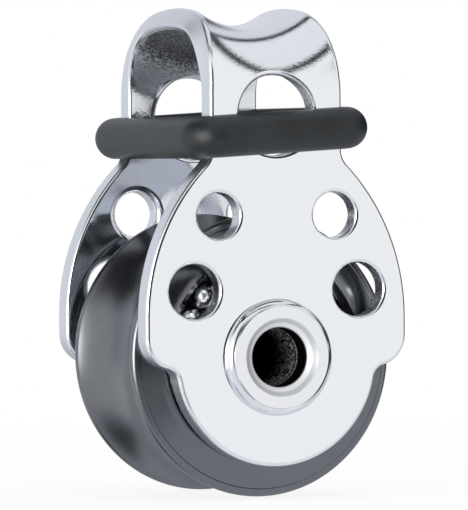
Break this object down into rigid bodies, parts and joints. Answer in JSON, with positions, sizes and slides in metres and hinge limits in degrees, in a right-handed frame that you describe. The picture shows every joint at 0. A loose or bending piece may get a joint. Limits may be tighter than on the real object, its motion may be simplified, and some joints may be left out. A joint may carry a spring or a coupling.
{
  "type": "single sheave block",
  "caption": "Small ball-bearing sheave block for light line: pressed stainless strap with a saddle-formed head, hollow flanged axle, black sheave and a rubber keeper ring round the neck.",
  "frame": {"origin": "centre of the hollow axle, midway between the cheeks", "axes": "+Z from the axle up to the head, Y along the axle with the front cheek of the picture at -Y, X across the cheeks"},
  "size_m": [0.016, 0.016, 0.0278],
  "materials": {
    "polished_sheet": "polished stainless sheet",
    "axle_metal": "turned and pressed, bright",
    "race_metal": "turned, ground",
    "black_anodised": "satin black anodised",
    "ball_steel": "polished ball",
    "black_rubber": "moulded, satin"
  },
  "bodies": {
    "frame": {"strap": "polished_sheet", "axle": "axle_metal", "inner_race": "race_metal"},
    "wheel": {"sheave": "black_anodised"},
    "front_balls": {"front_ball_01": "ball_steel", "front_ball_02": "ball_steel", "front_ball_03": "ball_steel", "front_ball_04": "ball_steel", "front_ball_05": "ball_steel", "front_ball_06": "ball_steel", "front_ball_07": "ball_steel", "front_ball_08": "ball_steel", "front_ball_09": "ball_steel", "front_ball_10": "ball_steel", "front_ball_11": "ball_steel", "front_ball_12": "ball_steel", "front_ball_13": "ball_steel", "front_ball_14": "ball_steel", "front_ball_15": "ball_steel", "front_ball_16": "ball_steel", "front_ball_17": "ball_steel", "front_ball_18": "ball_steel"},
    "rear_balls": {"rear_ball_01": "ball_steel", "rear_ball_02": "ball_steel", "rear_ball_03": "ball_steel", "rear_ball_04": "ball_steel", "rear_ball_05": "ball_steel", "rear_ball_06": "ball_steel", "rear_ball_07": "ball_steel", "rear_ball_08": "ball_steel", "rear_ball_09": "ball_steel", "rear_ball_10": "ball_steel", "rear_ball_11": "ball_steel", "rear_ball_12": "ball_steel", "rear_ball_13": "ball_steel", "rear_ball_14": "ball_steel", "rear_ball_15": "ball_steel", "rear_ball_16": "ball_steel", "rear_ball_17": "ball_steel", "rear_ball_18": "ball_steel"},
    "keeper": {"keeper_ring": "black_rubber"}
  },
  "joints": [
    {"name": "sheave_spin", "type": "hinge", "parent": "frame", "child": "wheel", "pos_m": [0, 0, 0], "axis": [0, 1, 0], "continuous": true},
    {"name": "front_row_roll", "type": "hinge", "parent": "frame", "child": "front_balls", "pos_m": [0, 0, 0], "axis": [0, 1, 0], "continuous": true},
    {"name": "rear_row_roll", "type": "hinge", "parent": "frame", "child": "rear_balls", "pos_m": [0, 0, 0], "axis": [0, 1, 0], "continuous": true},
    {"name": "keeper_slide", "type": "slide", "parent": "frame", "child": "keeper", "axis": [0, 0, 1], "range_m": [0, 0.005]}
  ],
  "couplings": [
    {"joint": "front_row_roll", "follows": "sheave_spin", "ratio": 0.58291},
    {"joint": "rear_row_roll", "follows": "sheave_spin", "ratio": 0.58291}
  ]
}
